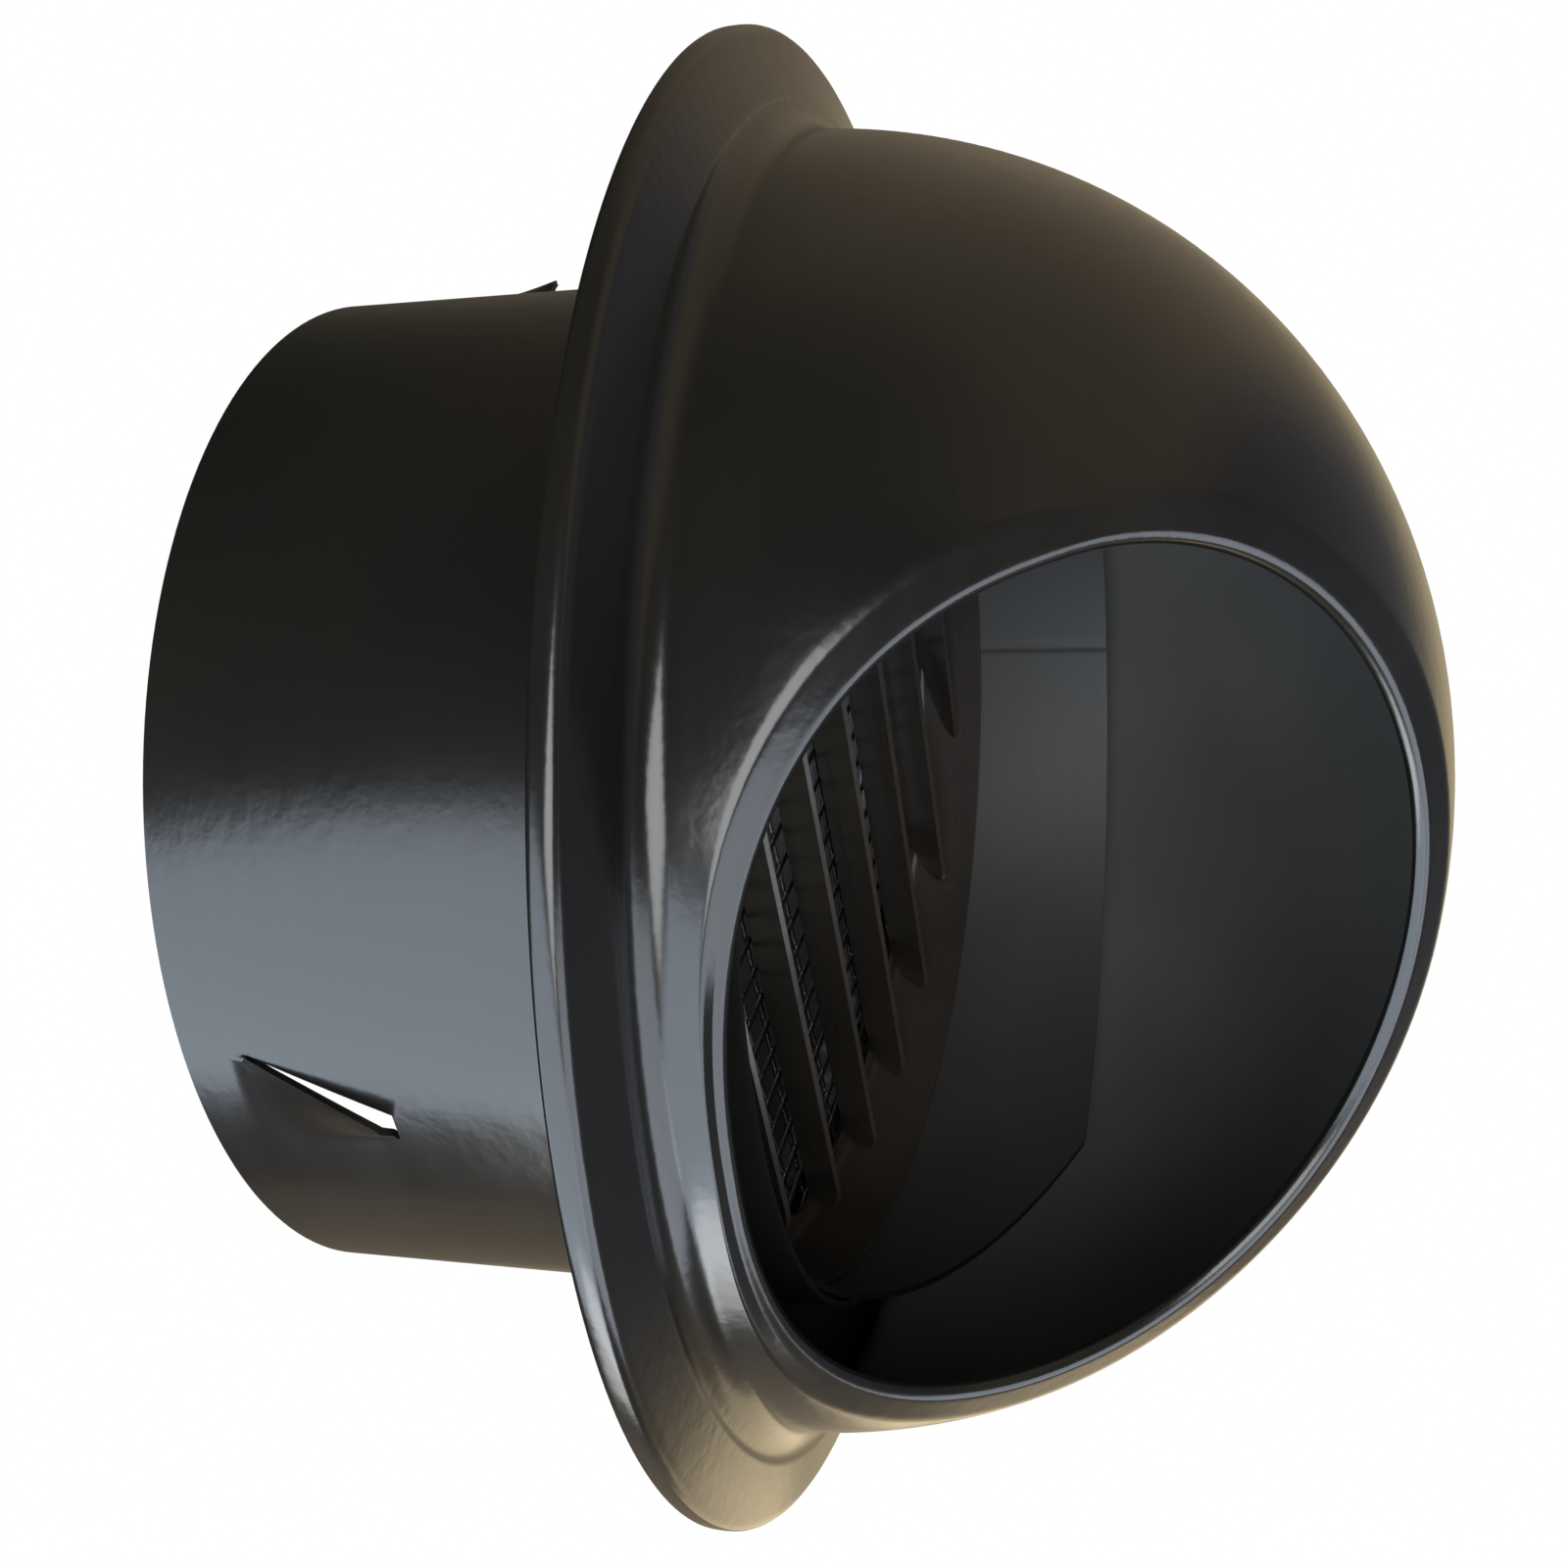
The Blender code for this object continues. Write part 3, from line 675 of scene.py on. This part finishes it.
# The louvre plate is black enamel like the rest. Its lift to a warm brown is a painted reflection,
# standing in for the warm light that the flaps catch.
LOUVRE_PAINTED_LIGHT_DARK = (0.022, 0.0185, 0.0160)
LOUVRE_PAINTED_LIGHT_BROWN = (0.040, 0.0320, 0.0250)
louvre_painted_light_paint = enamel("louvre_enamel_painted_light", LOUVRE_PAINTED_LIGHT_DARK, LOUVRE_PAINTED_LIGHT_BROWN, gloss=0.28, streak=0.0)
louvres = made("louvre_pressing", louvre_sheet(), louvre_painted_light_paint, wall=LOUVRE_SHEET)
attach(louvres, "root")
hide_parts("louvre_plate")


# Insect screen ---------------------------------------------------------------------------------
# Disc cut from welded galvanised wire mesh, its upright wires in front of its level ones. It lies
# flat against the back of the louvre plate.

WIRE_RADIUS = 0.28 * MM
WIRE_PITCH = 3.7 * MM
WIRE_COUNT = 26
SCREEN_PLANE = 1.25 * MM
SCREEN_RADIUS = 47.2 * MM
WIRE_SINK = 0.05 * MM             # how far crossing wires are pressed into each other
WIRE_SIDES = 8
ZINC_GREY = (0.16, 0.16, 0.16)
ZINC_BRIGHT = (0.34, 0.34, 0.35)
ZINC_SPOTS = 700.0                # to the metre


def wires(upright):
    """Grids of the wires that run one way: tubes with a few flat sides, closed at their ends.

    A wire at a distance d from the middle is sqrt(radius ^ 2 - d ^ 2) long to each side.
    """
    aside = ((np.arange(WIRE_COUNT) - (WIRE_COUNT - 1) / 2) * WIRE_PITCH)[:, None, None]
    share = np.array([-1.0, -1.0, 1.0, 1.0])[None, :, None]
    thick = WIRE_RADIUS * np.array([0.0, 1.0, 1.0, 0.0])[None, :, None]
    turn = np.linspace(0, 2 * np.pi, WIRE_SIDES, endpoint=False)[None, None, :]
    layer = (WIRE_SINK - WIRE_RADIUS) * (1 if upright else -1)
    through = SCREEN_PLANE + layer + thick * np.cos(turn)
    lateral = aside + thick * np.sin(turn)
    length = share * np.sqrt(SCREEN_RADIUS ** 2 - aside ** 2) + 0 * turn
    order = [lateral, through, length] if upright else [length, through, lateral]
    points = np.stack(np.broadcast_arrays(*order), axis=-1)
    return [seated((wire, quads(4, WIRE_SIDES, ring=True))) for wire in points]


def galvanised(name):
    """Zinc-coated steel wire, dull grey with brighter rubbed spots."""
    material, tree, shader = blank_material(name)
    place = tree.nodes.new("ShaderNodeTexCoord").outputs["Object"]
    spots = noise(tree, place, ZINC_SPOTS, detail=3.0)
    tree.links.new(blended(tree, ranged(tree, spots, 0.0, 1.0), ZINC_GREY, ZINC_BRIGHT),
                   shader.inputs["Base Color"])
    tree.links.new(ranged(tree, spots, 0.36, 0.22), shader.inputs["Roughness"])
    shader.inputs["Metallic"].default_value = 1.0
    raised(tree, shader, (spots, 0.2, 0.05 * MM))
    return material


wire_zinc = galvanised("screen_wire_zinc")
screen = made("mesh_screen", wires(False) + wires(True), wire_zinc, sharp=60.0)
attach(screen, "root")
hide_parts("insect_screen")


# Screen ring -----------------------------------------------------------------------------------
# Angle-section ring rolled from steel strip. Pushed into the tube behind the screen, it springs
# against the wall and holds the screen flat on the louvre plate.

RING_SHEET = 0.6 * MM
RING_LEDGE = 3.6 * MM
RING_PLANE = 2.4 * MM             # middle of the ledge's sheet
RING_END = 7.1 * MM
RING_BEND = 0.9 * MM

ring_radius = INSERT_RADIUS - RING_SHEET / 2
ring_profile = bent([(INSERT_RADIUS - RING_LEDGE, RING_PLANE), (ring_radius, RING_PLANE),
                     (ring_radius, RING_END)], RING_BEND)
ring = made("clamp_ring", [seated(spun(ring_profile))], galvanised("ring_steel_zinc"),
            wall=RING_SHEET)
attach(ring, "root")
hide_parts("screen_ring")


# Room ------------------------------------------------------------------------------------------
# A pale floor well below, four large soft lights under the vent and before it, and a weak warm one
# at its right side. The rest of the room is dim and warm, and the camera sees it as white.

FLOOR_LEVEL = -0.9
FLOOR_SIZE = 8.0
FLOOR_GREY = (0.40, 0.40, 0.40)


def soft_light(name, place, size, brightness, colour):
    """A square area light at a place, facing the vent, with the same brightness at any size."""
    data = bpy.data.lights.new(name, "AREA")
    data.size = size
    data.energy = brightness * np.pi * size ** 2
    data.color = colour
    light = bpy.data.objects.new(name, data)
    light.location = place
    light.rotation_euler = Vector(place).to_track_quat("Z", "Y").to_euler()
    light.visible_camera = False
    bpy.context.collection.objects.link(light)


floor_ends = np.array([-FLOOR_SIZE / 2, FLOOR_SIZE / 2])
floor_x, floor_y = np.meshgrid(floor_ends, floor_ends)
floor_points = np.stack([floor_x, floor_y, np.full_like(floor_x, FLOOR_LEVEL)], axis=-1)
floor_paint, _, floor_shader = blank_material("floor_pale")
floor_shader.inputs["Base Color"].default_value = (*FLOOR_GREY, 1.0)
floor_shader.inputs["Roughness"].default_value = 0.8
floor = made("floor", [(floor_points, quads(2, 2))], floor_paint)

soft_light("bright_below", (0.20, 0.13, -0.80), 1.25, 4.2, (0.74, 0.86, 1.0))
soft_light("bright_front", (0.36, -0.67, -0.48), 0.80, 3.6, (0.80, 0.88, 1.0))
soft_light("bright_left", (-0.33, -0.30, -0.75), 0.55, 6.0, (0.96, 0.98, 1.0))
soft_light("bright_right", (0.70, 0.10, -0.55), 0.40, 4.4, (1.0, 0.99, 0.97))
soft_light("khaki_side", (0.93, -0.14, 0.24), 0.55, 1.2, (1.0, 0.80, 0.50))

# The dim warm room has darker parts and a khaki one. Each has its direction from the vent, the
# cosines of the angles to its edge and to its even middle, and its colour.
SURROUND_WARM = (0.36, 0.29, 0.20)
SURROUND_PARTS = [((-0.1, 0.97, 0.2), 0.2, 0.7, (0.05, 0.05, 0.04)),
                  ((0.22, -0.86, 0.44), 0.72, 0.85, (0.15, 0.15, 0.17)),
                  ((-0.97, 0.05, -0.20), 0.72, 0.95, (0.12, 0.105, 0.08)),
                  ((0.60, -0.10, 0.79), 0.82, 0.93, (0.66, 0.55, 0.35))]


def surround():
    """White where the camera sees it, and the dim room for everything else."""
    world = bpy.data.worlds.new("surround")
    world.use_nodes = True
    tree = world.node_tree
    shown = tree.nodes["Background"]
    shown.inputs["Color"].default_value = (1.0, 1.0, 1.0, 1.0)
    room = tree.nodes.new("ShaderNodeBackground")
    way = tree.nodes.new("ShaderNodeTexCoord").outputs["Generated"]
    colour = SURROUND_WARM
    for direction, edge, middle, tint in SURROUND_PARTS:
        facing = tree.nodes.new("ShaderNodeVectorMath")
        facing.operation = "DOT_PRODUCT"
        facing.inputs[1].default_value = Vector(direction).normalized()
        tree.links.new(way, facing.inputs[0])
        inside = ranged(tree, facing.outputs["Value"], 0.0, 1.0, start=edge, stop=middle)
        colour = blended(tree, inside, colour, tint)
    tree.links.new(colour, room.inputs["Color"])
    ray = tree.nodes.new("ShaderNodeLightPath")
    either = tree.nodes.new("ShaderNodeMixShader")
    tree.links.new(ray.outputs["Is Camera Ray"], either.inputs["Fac"])
    tree.links.new(room.outputs["Background"], either.inputs[1])
    tree.links.new(shown.outputs["Background"], either.inputs[2])
    tree.links.new(either.outputs["Shader"], tree.nodes["World Output"].inputs["Surface"])
    return world


bpy.context.scene.world = surround()
bpy.context.scene.view_settings.view_transform = "Standard"

# Camera: under the vent, a little ahead of the flange and to its left, with its top turned to -X.
EYE = Vector((-0.0863, -0.0471, -0.1590))
SIGHT = Vector((0.47890, 0.29803, 0.82575)).normalized()
UPRIGHT = Vector((-0.86747, 0.01622, 0.49724)).normalized()
view = bpy.data.cameras.new("view")
view.lens = 42.97
view.sensor_width = 36.0
view.shift_x = 0.0485
view.shift_y = 0.0333
view.clip_start = 0.01
camera = bpy.data.objects.new("camera", view)
camera.matrix_world = Matrix.Translation(EYE) @ Matrix(
    (SIGHT.cross(UPRIGHT), UPRIGHT, -SIGHT)).transposed().to_4x4()
bpy.context.collection.objects.link(camera)
bpy.context.scene.camera = camera
